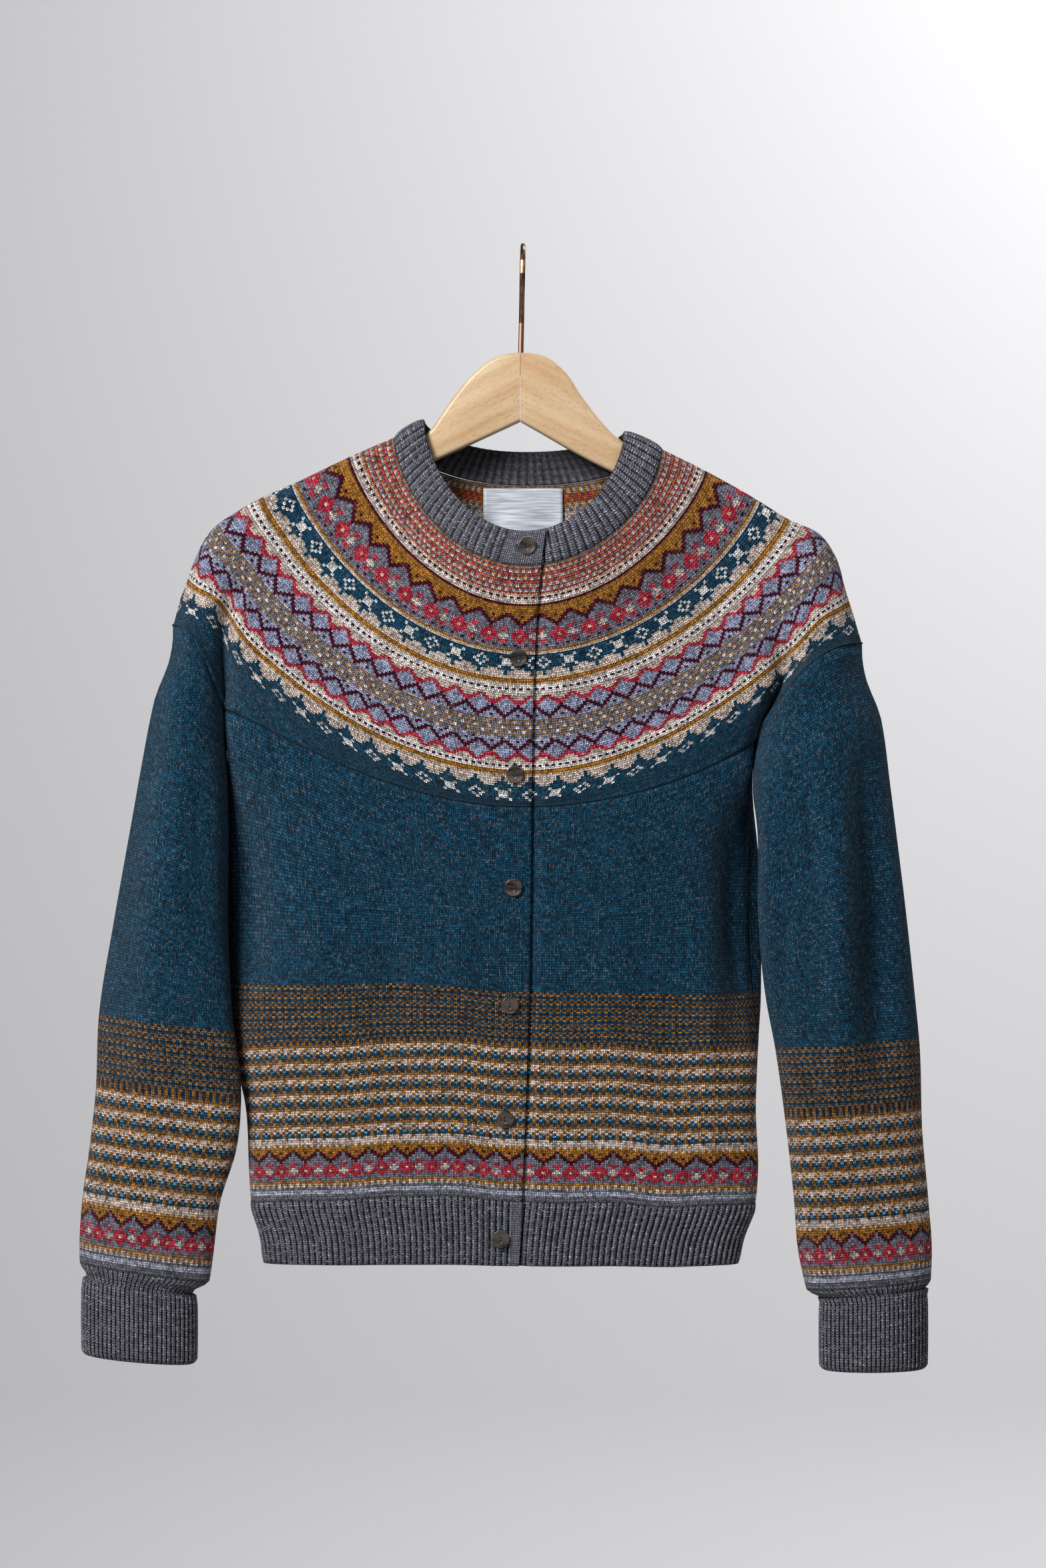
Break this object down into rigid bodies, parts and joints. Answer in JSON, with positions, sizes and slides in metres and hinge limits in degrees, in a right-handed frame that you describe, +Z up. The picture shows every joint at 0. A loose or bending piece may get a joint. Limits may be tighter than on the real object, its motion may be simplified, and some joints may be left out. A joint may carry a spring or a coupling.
{
  "type": "cardigan on a hanger",
  "caption": "Long-sleeved round-yoke knitted cardigan with banded colourwork, ribbed neck, hem and turned-back cuffs, buttoned up and hanging on a flat wooden hanger with a wire hook.",
  "frame": {"origin": "underside of the hook's crown, where the hanger rests on a rod", "axes": "+Z up, the garment's front faces -Y, the wearer's right side is on -X"},
  "size_m": [0.637, 0.1093, 0.8438],
  "materials": {
    "teal_wool": "knitted wool, matt",
    "yoke_wool": "stranded knitted wool, matt",
    "grey_rib_wool": "marled ribbed wool, matt",
    "shell": "smoky shell, polished",
    "beech": "satin varnish",
    "bronzed_wire": "bronzed, satin",
    "satin": "woven satin"
  },
  "bodies": {
    "root": {"yoke_front_right": "yoke_wool", "yoke_back": "yoke_wool", "yoke_front_left": "yoke_wool", "neckband": "grey_rib_wool", "front_right": "teal_wool", "front_left": "teal_wool", "back": "teal_wool", "hem_rib_front_right": "grey_rib_wool", "hem_rib_front_left": "grey_rib_wool", "hem_rib_back": "grey_rib_wool", "sleeve_right": "teal_wool", "sleeve_left": "teal_wool", "cuff_right": "grey_rib_wool", "cuff_left": "grey_rib_wool", "button_1": "shell", "button_2": "shell", "button_3": "shell", "button_4": "shell", "button_5": "shell", "button_6": "shell", "button_7": "shell", "neck_label": "satin", "hanger_board_right": "beech", "hanger_board_left": "beech", "hanger_hook": "bronzed_wire"}
  },
  "joints": []
}
